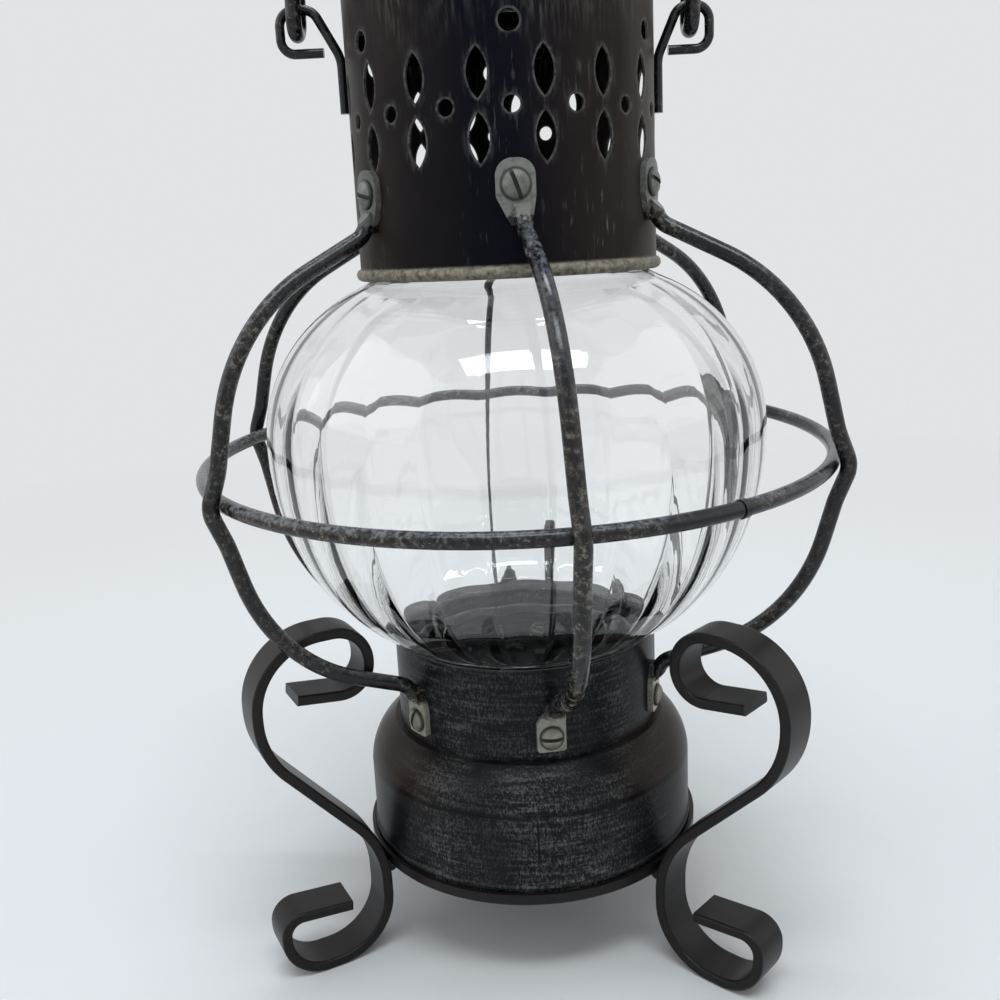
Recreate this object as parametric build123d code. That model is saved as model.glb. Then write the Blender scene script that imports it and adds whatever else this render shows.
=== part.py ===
from build123d import *
from math import asin, cos, degrees, radians, sin, sqrt, tan
import os

# Driving sizes in millimetres. The table top is z = 0 and the lantern's own axis is Z.
# Azimuth 0 faces the viewer (-Y) and grows towards the viewer's right (+X).
GLOBE_RADIUS = 76.0
CHIMNEY_RADIUS = 44.0
COLLAR_RADIUS = 41.9
BASE_RADIUS = 52.2
RING_RADIUS = 95.0

PLATE_UNDERSIDE = 28.0
BASE_RISE = 38.7
COLLAR_HEIGHT = 28.6
GLASS_SPAN = 110.7
CHIMNEY_HEIGHT = 80.8
BAIL_RISE = 96.2

# Stock: sheet, glass, wire and bar.
SHEET = 0.7
PLATE_SHEET = 1.2
GLASS_WALL = 2.4
RIB_WIRE = 4.5
RING_WIRE = 4.3
EAR_WIRE = 2.7
BAIL_WIRE = 4.4
BAR_WIDTH = 12.7
BAR_THICK = 3.2
BAR_CORNER = 0.8

# Clearances.
SLIP = 0.3          # a piece that slides or lifts out of another
SEAT = 0.1          # a piece fastened against a curved wall
SEAT_IN_LIP = 0.6   # base inside the lip of the stand plate
GLASS_PLAY = 1.9    # glass neck inside a sheet metal tube
HOOK_PLAY = 0.6     # bail hook round its ear
RING_GAP = 0.2      # cage ring inside the ribs
LEG_GAP = 0.6       # left leg beside the nearest rib

# Height stack.
PLATE_TOP = PLATE_UNDERSIDE + PLATE_SHEET
COLLAR_FOOT = PLATE_TOP + BASE_RISE
COLLAR_TOP = COLLAR_FOOT + COLLAR_HEIGHT
RIM_Z = COLLAR_TOP + GLASS_SPAN
CHIMNEY_TOP = RIM_Z + CHIMNEY_HEIGHT
BELLY_Z = COLLAR_TOP + 0.572 * GLASS_SPAN
RING_Z = COLLAR_TOP + 0.52 * GLASS_SPAN

# Ribs: six, each lying in a plane that leans a little, so its foot is not under its head.
RIB_COUNT = 6
RIB_AZIMUTH = 6.0
RIB_LEAN = 1.43
FRONT_RIB_LEAN = 1.75
FRONT_RIB_SWING = 2.0    # the front rib is bowed sideways where it crosses the ring
RIB_PITCH = 360.0 / RIB_COUNT
FLAT_THICK = 1.7
HEAD_WIDTH = 10.4
FOOT_WIDTH = 8.6
KNEE_BEND = 8.0
UPPER_SCREW_Z = RIM_Z + 23.6
LOWER_SCREW_Z = COLLAR_FOOT + 8.0

# Cage ring: it hangs a little lower at the viewer's side and shows its butt weld.
RING_TILT = 1.9
RING_WELD_AZIMUTH = 34.0
RING_WELD_PROUD = 0.35
RING_WELD_LENGTH = 1.8

# Fasteners.
SCREW_SHANK = 3.4
UPPER_SCREW_HEAD = 7.8
LOWER_SCREW_HEAD = 7.0
SCREW_DOME = 1.9
SLOT_WIDTH = 1.1
SLOT_DEPTH = 0.9
NUT_SIDE = 6.4
NUT_THICK = 2.4
SCREW_POINT = 0.6
HOLE_PLAY = 0.2

# Punched pattern of the chimney: sixteen columns.
COLUMNS = 16
MARQUISE_LENGTH = 12.6
MARQUISE_WIDTH = 5.4
DOT_DIAMETER = 4.3
TOP_HOLE_DIAMETER = 5.4
PATTERN_Z = RIM_Z + 43.2
ROW_SPREAD = 7.9
TOP_HOLE_Z = RIM_Z + 62.8
RIM_BEAD = 1.75
RIM_PROUD = 1.3

# Stand legs.
RIGHT_LEG_AZIMUTH = 48.0
BACK_LEG_AZIMUTH = 173.0
WELD_RADIUS = 1.6


def turned(outline):
    """Solid of revolution about Z; the outline holds (radius, height) edges."""
    return revolve(Plane.XZ * make_face(outline), Axis.Z)


def turned_points(*points):
    """Solid of revolution about Z from the corners of a closed outline."""
    return turned(Polyline(*points, close=True))


def tube(radius, wall, z_low, z_high):
    """Plain open tube given by its outside radius."""
    bore = radius - wall
    return turned_points((bore, z_low), (radius, z_low), (radius, z_high), (bore, z_high))


def to_azimuth(shape, azimuth):
    """Turn a piece drawn along +X so that it faces an azimuth."""
    return Rot(Z=azimuth - 90.0) * shape


def radial_plane(height):
    """Sketch plane through the axis that faces +X, with its y direction up."""
    return Plane(origin=(0, 0, height), x_dir=(0, 1, 0), z_dir=(1, 0, 0))


def bent(points, radii):
    """Bent line in the XZ plane with a rounded corner at each inner point."""
    return Plane.XZ * FilletPolyline(*points, radius=radii)


def round_wire(path, diameter):
    """Round wire along a bent line."""
    return sweep(Plane(origin=path @ 0, z_dir=path % 0) * Circle(diameter / 2), path=path)


def lean_angle(height, radius, lean=RIB_LEAN):
    """Azimuth step between a rib's middle plane and its place at a height on a wall."""
    return degrees(asin(sin(radians(lean)) * (RING_Z - height) / radius))


HEAD_STEP = lean_angle(UPPER_SCREW_Z, CHIMNEY_RADIUS)
FOOT_STEP = lean_angle(LOWER_SCREW_Z, COLLAR_RADIUS)
HEAD_AZIMUTH = RIB_AZIMUTH + HEAD_STEP
FOOT_AZIMUTH = RIB_AZIMUTH + FOOT_STEP


def round_hole(diameter, height):
    """Cutter for a round hole through a wall that faces +X."""
    reach = CHIMNEY_RADIUS + BASE_RADIUS
    return extrude(radial_plane(height) * Circle(diameter / 2), reach)


def marquise_hole(height):
    """Cutter for a pointed oval hole through a wall that faces +X."""
    half_length = MARQUISE_LENGTH / 2
    half_width = MARQUISE_WIDTH / 2
    right = ThreePointArc((0, -half_length), (half_width, 0), (0, half_length))
    left = ThreePointArc((0, half_length), (-half_width, 0), (0, -half_length))
    return extrude(radial_plane(height) * make_face([right, left]), CHIMNEY_RADIUS + BASE_RADIUS)


def make_chimney():
    """Punched chimney with a rolled lower rim."""
    body = tube(CHIMNEY_RADIUS, SHEET, RIM_Z + RIM_BEAD, CHIMNEY_TOP)
    bead_radius = CHIMNEY_RADIUS + RIM_PROUD - RIM_BEAD
    body += Pos(0, 0, RIM_Z + RIM_BEAD) * Torus(bead_radius, RIM_BEAD)
    step = 360.0 / COLUMNS
    cutters = []
    for column in range(COLUMNS):
        azimuth = HEAD_AZIMUTH + column * step
        cutters.append(to_azimuth(round_hole(DOT_DIAMETER, PATTERN_Z), azimuth))
        for side in (-1, 1):
            oval = marquise_hole(PATTERN_Z + side * ROW_SPREAD)
            cutters.append(to_azimuth(oval, azimuth + step / 2))
    for rib in range(RIB_COUNT):
        azimuth = HEAD_AZIMUTH + rib * RIB_PITCH
        cutters.append(to_azimuth(round_hole(TOP_HOLE_DIAMETER, TOP_HOLE_Z), azimuth))
        cutters.append(to_azimuth(round_hole(SCREW_SHANK + HOLE_PLAY, UPPER_SCREW_Z), azimuth))
    return body - cutters


def make_collar():
    """Plain collar that carries the glass and the feet of the ribs."""
    body = tube(COLLAR_RADIUS, SHEET, COLLAR_FOOT, COLLAR_TOP)
    cutters = []
    for rib in range(RIB_COUNT):
        hole = round_hole(SCREW_SHANK + HOLE_PLAY, LOWER_SCREW_Z)
        cutters.append(to_azimuth(hole, FOOT_AZIMUTH + rib * RIB_PITCH))
    return body - cutters


COLLAR_BORE = COLLAR_RADIUS - SHEET
CHIMNEY_BORE = CHIMNEY_RADIUS - SHEET
NECK_RADIUS = COLLAR_BORE - GLASS_PLAY
CROWN_RADIUS = CHIMNEY_BORE - GLASS_PLAY
NECK_Z = COLLAR_TOP - 8.0
CROWN_Z = RIM_Z + 7.0


def glass_skin(inset):
    """Lines of the glass from neck to crown; the inset moves them inside the outer skin."""
    steep = 0.88 * inset
    shallow = 0.47 * inset
    rise_low = BELLY_Z - COLLAR_TOP
    rise_high = RIM_Z - BELLY_Z
    neck = NECK_RADIUS - inset
    crown = CROWN_RADIUS - inset
    belly = GLOBE_RADIUS - inset
    low = (COLLAR_RADIUS + 0.1 - shallow, COLLAR_TOP + 1.2 + steep)
    pull_low = (0.763 * GLOBE_RADIUS - shallow, COLLAR_TOP + 0.15 * rise_low + steep)
    side_low = (belly, COLLAR_TOP + 0.45 * rise_low)
    side_high = (belly, BELLY_Z + 0.42 * rise_high)
    pull_high = (0.842 * GLOBE_RADIUS - shallow, BELLY_Z + 0.79 * rise_high - steep)
    high = (CHIMNEY_RADIUS + 0.8 - shallow, RIM_Z - 1.9 - steep)
    return [
        Line((neck, NECK_Z), (neck, COLLAR_TOP - 0.6)),
        Line((neck, COLLAR_TOP - 0.6), low),
        Bezier(low, pull_low, side_low, (belly, BELLY_Z)),
        Bezier((belly, BELLY_Z), side_high, pull_high, high),
        Line(high, (crown, RIM_Z - 0.2)),
        Line((crown, RIM_Z - 0.2), (crown, CROWN_Z)),
    ]


def make_globe():
    """Blown glass globe: a pear-shaped belly between two short necks."""
    crown = Line((CROWN_RADIUS, CROWN_Z), (CROWN_RADIUS - GLASS_WALL, CROWN_Z))
    neck = Line((NECK_RADIUS - GLASS_WALL, NECK_Z), (NECK_RADIUS, NECK_Z))
    return turned(glass_skin(0.0) + [crown] + glass_skin(GLASS_WALL) + [neck])


def make_globe_seat():
    """Ledge inside the collar that the lower neck of the glass stands on."""
    outer = COLLAR_BORE - SEAT
    inner = NECK_RADIUS - GLASS_WALL - 0.8
    skirt = 5.0
    return turned_points(
        (outer - SHEET, NECK_Z - skirt),
        (outer, NECK_Z - skirt),
        (outer, NECK_Z),
        (inner, NECK_Z),
        (inner, NECK_Z - SHEET),
        (outer - SHEET, NECK_Z - SHEET),
    )


SPIGOT_RADIUS = COLLAR_BORE - SLIP
SPIGOT_RISE = 3.2
SHOULDER_DROP = 14.0
SHOULDER_BULGE = 2.0
LEDGE_RADIUS = COLLAR_RADIUS + 1.9
BASE_BEAD = 0.9
LIP_RISE = 2.5
LIP_BORE = BASE_RADIUS + SEAT_IN_LIP
LIP_RADIUS = LIP_BORE + PLATE_SHEET


def make_base_shell():
    """Drum of the candle base, with its shoulder and the spigot that the collar slips over."""
    top = (LEDGE_RADIUS, COLLAR_FOOT)
    edge = (BASE_RADIUS, COLLAR_FOOT - SHOULDER_DROP)
    run = BASE_RADIUS - LEDGE_RADIUS
    slope = sqrt(run**2 + SHOULDER_DROP**2)
    crest = (
        (top[0] + edge[0]) / 2 + SHOULDER_BULGE * SHOULDER_DROP / slope,
        (top[1] + edge[1]) / 2 + SHOULDER_BULGE * run / slope,
    )
    inner_top = (SPIGOT_RADIUS, COLLAR_FOOT - SHEET)
    inner_edge = (edge[0] - SHEET, edge[1])
    inner_crest = (crest[0] - 0.9 * SHEET, crest[1] - 0.6 * SHEET)
    spigot_bore = SPIGOT_RADIUS - SHEET
    outline = [
        Line((BASE_RADIUS - SHEET, PLATE_TOP), (BASE_RADIUS, PLATE_TOP)),
        Line((BASE_RADIUS, PLATE_TOP), edge),
        ThreePointArc(edge, crest, top),
        Line(top, (SPIGOT_RADIUS, COLLAR_FOOT)),
        Line((SPIGOT_RADIUS, COLLAR_FOOT), (SPIGOT_RADIUS, COLLAR_FOOT + SPIGOT_RISE)),
        Line((SPIGOT_RADIUS, COLLAR_FOOT + SPIGOT_RISE), (spigot_bore, COLLAR_FOOT + SPIGOT_RISE)),
        Line((spigot_bore, COLLAR_FOOT + SPIGOT_RISE), (spigot_bore, COLLAR_FOOT - SHEET)),
        Line((spigot_bore, COLLAR_FOOT - SHEET), inner_top),
        ThreePointArc(inner_top, inner_crest, inner_edge),
        Line(inner_edge, (BASE_RADIUS - SHEET, PLATE_TOP)),
    ]
    bead_z = PLATE_TOP + LIP_RISE + SLIP + BASE_BEAD
    return turned(outline) + Pos(0, 0, bead_z) * Torus(BASE_RADIUS - BASE_BEAD / 2, BASE_BEAD)


FLOOR_FLANGE = 2.2
PAN_RADIUS = 34.0
PAN_RISE = 6.0
SOCKET_BORE = 11.2
SOCKET_DEPTH = 25.0
FLOOR_TOP = PLATE_TOP + SHEET


def make_base_floor():
    """Pressed floor of the candle base, with a flange up the inside of the drum."""
    outer = BASE_RADIUS - SHEET - SEAT
    return turned_points(
        (0, PLATE_TOP),
        (outer, PLATE_TOP),
        (outer, PLATE_TOP + FLOOR_FLANGE),
        (outer - SHEET, PLATE_TOP + FLOOR_FLANGE),
        (outer - SHEET, FLOOR_TOP),
        (0, FLOOR_TOP),
    )


def make_candle_pan():
    """Drip pan with a sloping rim, standing on the floor of the base."""
    flat = PAN_RADIUS - PAN_RISE
    inner_flat = flat - SHEET * tan(radians(22.5))
    return turned_points(
        (0, FLOOR_TOP),
        (flat, FLOOR_TOP),
        (PAN_RADIUS, FLOOR_TOP + PAN_RISE),
        (PAN_RADIUS - SHEET, FLOOR_TOP + PAN_RISE + 0.3 * SHEET),
        (inner_flat, FLOOR_TOP + SHEET),
        (0, FLOOR_TOP + SHEET),
    )


def make_candle_socket():
    """Cup for the candle, with a small flare at the mouth."""
    low = FLOOR_TOP + SHEET
    mouth = low + SHEET + SOCKET_DEPTH
    outer = SOCKET_BORE + SHEET
    return turned_points(
        (0, low),
        (outer, low),
        (outer, mouth - 2.5),
        (outer + 2.0, mouth - 0.5),
        (outer + 2.0, mouth),
        (outer + 1.0, mouth),
        (SOCKET_BORE, mouth - 1.9),
        (SOCKET_BORE, low + SHEET),
        (0, low + SHEET),
    )


def ring_height(azimuth):
    """Height of the tilted ring's wire at an azimuth."""
    return RING_Z - RING_RADIUS * sin(radians(RING_TILT)) * cos(radians(azimuth))


def make_cage_ring():
    """Hoop that ties the six ribs at the waist of the cage, with the bead of its butt weld."""
    span = degrees(RING_WELD_LENGTH / RING_RADIUS)
    section = Plane.XZ * Pos(RING_RADIUS, 0)
    bead = revolve(section * Circle(RING_WIRE / 2 + RING_WELD_PROUD), Axis.Z, span)
    plain = revolve(section * Circle(RING_WIRE / 2), Axis.Z, 360.0 - span)
    hoop = bead + Rot(Z=span) * plain
    return Pos(0, 0, RING_Z) * Rot(X=RING_TILT) * to_azimuth(hoop, RING_WELD_AZIMUTH)


def pad_outline(width, end, shoulder, tail, jog):
    """Flat of a rib round a screw at the origin: wide at its end, narrowing and jogging to the wire."""
    half = width / 2
    tip = 0.6 * RIB_WIRE
    right = [(half, end), (half, shoulder), (jog + tip, tail)]
    left = [(jog - tip, tail), (-half, shoulder), (-half, end)]
    return make_face(Polyline(*right, *left, close=True))


def flat_pad(outline, height, wall_radius):
    """Flattened rib end, curved to lie on a round wall."""
    near = wall_radius + SEAT
    reach = 2 * HEAD_WIDTH
    blank = extrude(radial_plane(height) * outline, near + 4 * FLAT_THICK)
    return blank & tube(near + FLAT_THICK, FLAT_THICK, height - reach, height + reach)


def wedge(tip_radius, tip_height, rise):
    """Cutter that slopes a wire's end down into its flat."""
    reach = 3.5
    corners = [
        (tip_radius, tip_height),
        (tip_radius + reach, tip_height - rise),
        (tip_radius + 2 * reach, tip_height + rise),
        (tip_radius, tip_height + 2 * rise),
    ]
    return extrude(Plane.XZ * make_face(Polyline(*corners, close=True)), RIB_WIRE * 2, both=True)


def flat_jog(height, radius, swing, lean):
    """How far a rib's wire stands beside the middle of its flat."""
    return radius * radians(swing + lean_angle(height, radius, lean) - lean_angle(height, radius))


def make_rib(azimuth, swing=0.0, lean=RIB_LEAN):
    """One cage rib: arched wire with a knee round the ring and two pierced flats."""
    head_radius = CHIMNEY_RADIUS + SEAT + RIB_WIRE / 2
    foot_radius = COLLAR_RADIUS + SEAT + RIB_WIRE / 2
    knee_z = ring_height(azimuth + swing)
    knee_radius = RING_RADIUS + (RING_WIRE + RIB_WIRE) / 2 + RING_GAP + KNEE_BEND / 15
    head_end = UPPER_SCREW_Z - 4.6
    foot_end = LOWER_SCREW_Z + 5.2
    path = bent(
        [
            (head_radius, head_end),
            (head_radius, UPPER_SCREW_Z - 10.3),
            (RING_RADIUS - 7.0, RIM_Z - 7.1),
            (RING_RADIUS + 1.5, knee_z + 9.5),
            (knee_radius, knee_z - 0.3),
            (RING_RADIUS + 1.2, knee_z - 10.5),
            (RING_RADIUS - 8.7, COLLAR_TOP + 8.8),
            (foot_radius, COLLAR_TOP - 9.3),
            (foot_radius, foot_end),
        ],
        [6.0, 52.0, 20.0, KNEE_BEND, 20.0, 55.0, 6.5],
    )
    wire = round_wire(path, RIB_WIRE)
    wire -= wedge(CHIMNEY_RADIUS + SEAT + FLAT_THICK, head_end, 3.5)
    wire -= wedge(COLLAR_RADIUS + SEAT + FLAT_THICK, foot_end, -3.5)
    wire = Pos(0, 0, RING_Z) * Rot(Z=swing) * Rot(X=lean) * Pos(0, 0, -RING_Z) * wire

    jog = flat_jog(head_end, CHIMNEY_RADIUS, swing, lean)
    head_outline = pad_outline(HEAD_WIDTH, 6.5, -3.0, -10.2, jog)
    head_outline = fillet(head_outline.vertices().group_by(Axis.Y)[-1], 4.4)
    head = flat_pad(head_outline, UPPER_SCREW_Z, CHIMNEY_RADIUS)
    jog = flat_jog(foot_end, COLLAR_RADIUS, swing, lean)
    foot_outline = pad_outline(FOOT_WIDTH, -4.4, 4.2, 10.6, jog)
    foot_outline = fillet(foot_outline.vertices().group_by(Axis.Y)[0], 0.9)
    foot = flat_pad(foot_outline, LOWER_SCREW_Z, COLLAR_RADIUS)
    rib = wire + Rot(Z=HEAD_STEP) * head + Rot(Z=FOOT_STEP) * foot
    hole = SCREW_SHANK + HOLE_PLAY
    rib -= Rot(Z=HEAD_STEP) * round_hole(hole, UPPER_SCREW_Z)
    rib -= Rot(Z=FOOT_STEP) * round_hole(hole, LOWER_SCREW_Z)
    return to_azimuth(rib, azimuth)


def make_screw(height, wall_radius, head, slot_angle):
    """Slotted round-head screw along +X, head outside the flat of a rib."""
    seat = wall_radius + SEAT + FLAT_THICK
    point = wall_radius - SHEET - SEAT - 2 * SEAT - NUT_THICK - SCREW_POINT
    half_head = head / 2
    edge = seat + 0.4
    crest = seat + SCREW_DOME
    ball = (half_head**2 + (crest - edge) ** 2) / (2 * (crest - edge))
    shoulder = crest - ball + sqrt(ball**2 - half_head**2 / 4)
    outline = [
        Line((0, point), (SCREW_SHANK / 2 - 0.4, point)),
        Line((SCREW_SHANK / 2 - 0.4, point), (SCREW_SHANK / 2, point + 0.4)),
        Line((SCREW_SHANK / 2, point + 0.4), (SCREW_SHANK / 2, seat)),
        Line((SCREW_SHANK / 2, seat), (half_head, seat)),
        Line((half_head, seat), (half_head, edge)),
        ThreePointArc((half_head, edge), (half_head / 2, shoulder), (0, crest)),
        Line((0, crest), (0, point)),
    ]
    slot = Pos(0, 0, crest) * Rot(Z=slot_angle) * Box(head + 1, SLOT_WIDTH, 2 * SLOT_DEPTH)
    screw = turned(outline) - slot
    return Pos(0, 0, height) * Rot(Y=90) * screw


def make_nut(height, wall_radius):
    """Square nut along +X on the inside of a wall."""
    near = wall_radius - SHEET
    face = sqrt(near**2 - (NUT_SIDE / 2) ** 2) - SEAT
    nut = Box(NUT_SIDE, NUT_SIDE, NUT_THICK) - Cylinder(SCREW_SHANK / 2 + SEAT, 2 * NUT_THICK)
    return Pos(face - NUT_THICK / 2, 0, height) * Rot(Y=90) * nut


def upper_screw(rib):
    """Screw of a rib's head; each slot points its own way."""
    return make_screw(UPPER_SCREW_Z, CHIMNEY_RADIUS, UPPER_SCREW_HEAD, 20 + 47 * rib)


def lower_screw(rib):
    """Screw of a rib's foot; each slot points its own way."""
    return make_screw(LOWER_SCREW_Z, COLLAR_RADIUS, LOWER_SCREW_HEAD, 88 + 53 * rib)


def upper_nut(rib):
    """Nut behind a rib's head."""
    return make_nut(UPPER_SCREW_Z, CHIMNEY_RADIUS)


def lower_nut(rib):
    """Nut behind a rib's foot."""
    return make_nut(LOWER_SCREW_Z, COLLAR_RADIUS)


def six_round(piece_for, azimuth):
    """The same fastener at each of the six ribs, as separate solids."""
    pieces = [to_azimuth(piece_for(rib), azimuth + rib * RIB_PITCH) for rib in range(RIB_COUNT)]
    return Compound(children=[solid for piece in pieces for solid in piece.solids()])


EAR_TOP = CHIMNEY_TOP - 4.6
EAR_WALL = CHIMNEY_RADIUS + SEAT + EAR_WIRE / 2
RIGHT_EAR_DROP = 4.0
HOOK_RADIUS = (EAR_WIRE + BAIL_WIRE) / 2 + HOOK_PLAY
LEFT_HOOK_X = -(CHIMNEY_RADIUS + 13.4)
RIGHT_HOOK_X = CHIMNEY_RADIUS + 10.9
BAIL_MIDDLE = (LEFT_HOOK_X + RIGHT_HOOK_X) / 2
BAIL_SPAN = RIGHT_HOOK_X - LEFT_HOOK_X
BAIL_TILT = degrees(asin(RIGHT_EAR_DROP / BAIL_SPAN))


def make_ear(crown, rise, reach, arm):
    """Wire ear along +X: foot on the chimney, crown for the hook, arm bent back below it."""
    outer = EAR_WALL + reach
    eye = crown - 11.7
    path = bent(
        [
            (EAR_WALL, crown - 28.6),
            (EAR_WALL, crown - 13.4),
            (EAR_WALL + rise, crown),
            (outer, crown),
            (outer, eye),
            (EAR_WALL + arm, eye),
        ],
        [10.0, 4.6, 4.3, 4.0],
    )
    return round_wire(path, EAR_WIRE)


def make_bail():
    """Carrying bail: one wire, arched over the chimney, hooked under both ears."""
    x = BAIL_SPAN / 2
    y = HOOK_RADIUS
    hook_z = -2.4
    prong_z = 4.6
    arch_z = BAIL_RISE - x
    path = Wire(
        [
            Line((-x, y, prong_z), (-x, y, hook_z)),
            ThreePointArc((-x, y, hook_z), (-x, 0, hook_z - y), (-x, -y, hook_z)),
            Line((-x, -y, hook_z), (-x, -y, arch_z)),
            ThreePointArc((-x, -y, arch_z), (0, -y, arch_z + x), (x, -y, arch_z)),
            Line((x, -y, arch_z), (x, -y, hook_z)),
            ThreePointArc((x, -y, hook_z), (x, 0, hook_z - y), (x, y, hook_z)),
            Line((x, y, hook_z), (x, y, prong_z)),
        ]
    )
    middle = Pos(BAIL_MIDDLE, 0, EAR_TOP - RIGHT_EAR_DROP / 2)
    return middle * Rot(Y=BAIL_TILT) * round_wire(path, BAIL_WIRE)


CAP_SKIRT = 16.0
CAP_OVERHANG = 2.4
CAP_EDGE = 0.8
CAP_DOME = 14.0
KNOB_FOOT = 5.0
KNOB_SHANK = 1.5


def make_cap():
    """Pressed cap: skirt inside the chimney, rolled brim on its edge, shallow dome."""
    skirt = CHIMNEY_BORE - SLIP
    inner = skirt - SHEET
    brim = CHIMNEY_RADIUS + CAP_OVERHANG
    low = CHIMNEY_TOP - CAP_SKIRT
    brim_top = CHIMNEY_TOP + 2 * CAP_EDGE
    flat = KNOB_FOOT + 1.0
    crown = brim_top + CAP_DOME
    hole = KNOB_SHANK + SEAT
    shoulder = CHIMNEY_RADIUS - 1.5
    outline = [
        Line((inner, low), (skirt, low)),
        Line((skirt, low), (skirt, CHIMNEY_TOP)),
        Line((skirt, CHIMNEY_TOP), (brim, CHIMNEY_TOP)),
        ThreePointArc((brim, CHIMNEY_TOP), (brim + CAP_EDGE, CHIMNEY_TOP + CAP_EDGE), (brim, brim_top)),
        Line((brim, brim_top), (shoulder, brim_top)),
        ThreePointArc((shoulder, brim_top), (0.62 * shoulder, brim_top + 0.66 * CAP_DOME), (flat, crown)),
        Line((flat, crown), (hole, crown)),
        Line((hole, crown), (hole, crown - SHEET)),
        Line((hole, crown - SHEET), (flat, crown - SHEET)),
        ThreePointArc(
            (flat, crown - SHEET),
            (0.61 * shoulder, brim_top + 0.66 * CAP_DOME - SHEET),
            (inner, CHIMNEY_TOP + CAP_EDGE),
        ),
        Line((inner, CHIMNEY_TOP + CAP_EDGE), (inner, low)),
    ]
    return turned(outline)


def make_knob():
    """Turned knob, its shank riveted under the crown of the cap."""
    crown = CHIMNEY_TOP + 2 * CAP_EDGE + CAP_DOME
    under = crown - SHEET
    neck = 2.4
    ball = 6.0
    waist = crown + 4.0
    middle = waist + sqrt(ball**2 - neck**2)
    outline = [
        Line((0, under - 1.2), (2 * KNOB_SHANK, under - 1.2)),
        Line((2 * KNOB_SHANK, under - 1.2), (2 * KNOB_SHANK, under)),
        Line((2 * KNOB_SHANK, under), (KNOB_SHANK, under)),
        Line((KNOB_SHANK, under), (KNOB_SHANK, crown)),
        Line((KNOB_SHANK, crown), (KNOB_FOOT, crown)),
        Line((KNOB_FOOT, crown), (KNOB_FOOT, crown + 1.0)),
        ThreePointArc((KNOB_FOOT, crown + 1.0), (neck + 0.5, crown + 2.0), (neck, waist)),
        ThreePointArc((neck, waist), (ball, middle), (0, middle + ball)),
        Line((0, middle + ball), (0, under - 1.2)),
    ]
    return turned(outline)


def make_stand_plate():
    """Round plate of the stand with a low lip round the base."""
    turn_up = 1.0
    outline = [
        Line((0, PLATE_UNDERSIDE), (LIP_RADIUS - turn_up, PLATE_UNDERSIDE)),
        RadiusArc(
            (LIP_RADIUS - turn_up, PLATE_UNDERSIDE), (LIP_RADIUS, PLATE_UNDERSIDE + turn_up), -turn_up
        ),
        Line((LIP_RADIUS, PLATE_UNDERSIDE + turn_up), (LIP_RADIUS, PLATE_TOP + LIP_RISE)),
        Line((LIP_RADIUS, PLATE_TOP + LIP_RISE), (LIP_BORE, PLATE_TOP + LIP_RISE)),
        Line((LIP_BORE, PLATE_TOP + LIP_RISE), (LIP_BORE, PLATE_TOP)),
        Line((LIP_BORE, PLATE_TOP), (0, PLATE_TOP)),
        Line((0, PLATE_TOP), (0, PLATE_UNDERSIDE)),
    ]
    return turned(outline)


LEG_RADIUS = LIP_RADIUS + SEAT + BAR_THICK / 2
HALF_BAR = BAR_THICK / 2
FOOT_BEND = 0.62 * PLATE_UNDERSIDE
SCROLL_TOP = PLATE_UNDERSIDE + 80.2

# How far each leg's scroll leans out from its waist: the legs are bent by hand and differ.
LEFT_SCROLL = LEG_RADIUS + 0.3
RIGHT_SCROLL = LEG_RADIUS + 5.8
BACK_SCROLL = LEG_RADIUS + 3.0

# The left scroll stands just beside a rib, behind it as seen by the viewer.
LEFT_RIB_AZIMUTH = RIB_AZIMUTH - RIB_PITCH + lean_angle(SCROLL_TOP - 16.0, LEFT_SCROLL)
LEFT_LEG_STEP = degrees(asin((BAR_WIDTH / 2 + RIB_WIRE / 2 + LEG_GAP) / LEFT_SCROLL))
LEGS = {
    "left": (LEFT_SCROLL, LEFT_RIB_AZIMUTH - LEFT_LEG_STEP),
    "right": (RIGHT_SCROLL, RIGHT_LEG_AZIMUTH),
    "back": (BACK_SCROLL, BACK_LEG_AZIMUTH),
}


def make_leg(scroll_radius):
    """Scrolled leg along +X, bent from one flat bar: scroll, waist at the plate, curled foot."""
    scroll_out = scroll_radius + 34.6
    foot_out = LEG_RADIUS + 33.2
    path = bent(
        [
            (scroll_radius + 22.6, SCROLL_TOP - 18.0),
            (scroll_radius, SCROLL_TOP - 20.7),
            (scroll_radius, SCROLL_TOP),
            (scroll_out, SCROLL_TOP),
            (scroll_out, SCROLL_TOP - 32.7),
            (LEG_RADIUS, PLATE_UNDERSIDE + 7.5),
            (LEG_RADIUS, HALF_BAR),
            (foot_out, HALF_BAR),
            (foot_out, HALF_BAR + 19.4),
            (foot_out - 21.2, HALF_BAR + 17.6),
        ],
        [8.6, 10.4, 20.4, 28.0, 31.0, FOOT_BEND, 12.4, 5.4],
    )
    section = RectangleRounded(BAR_WIDTH, BAR_THICK, BAR_CORNER)
    return sweep(Plane(origin=path @ 0, x_dir=(0, 1, 0), z_dir=path % 0) * section, path=path)


def make_welds(plate):
    """One weld bead per leg, in the corner between the plate's underside and the bar."""
    length = BAR_WIDTH - 3.0
    bead = Rot(X=90) * Cylinder(WELD_RADIUS, length)
    bead = Pos(LIP_RADIUS - 0.3 * WELD_RADIUS, 0, PLATE_UNDERSIDE - 0.3 * WELD_RADIUS) * bead
    beads = []
    for scroll_radius, azimuth in LEGS.values():
        trimmed = bead - plate - make_leg(scroll_radius)
        beads.append(to_azimuth(trimmed.solids().sort_by(Axis.X)[0], azimuth))
    return Compound(children=beads)


os.makedirs("parts", exist_ok=True)

plate = make_stand_plate()
left_ear = make_ear(EAR_TOP, 7.3, 16.9, 4.8)
right_ear = make_ear(EAR_TOP - RIGHT_EAR_DROP, 6.0, 14.8, EAR_WIRE + 0.3)

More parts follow.
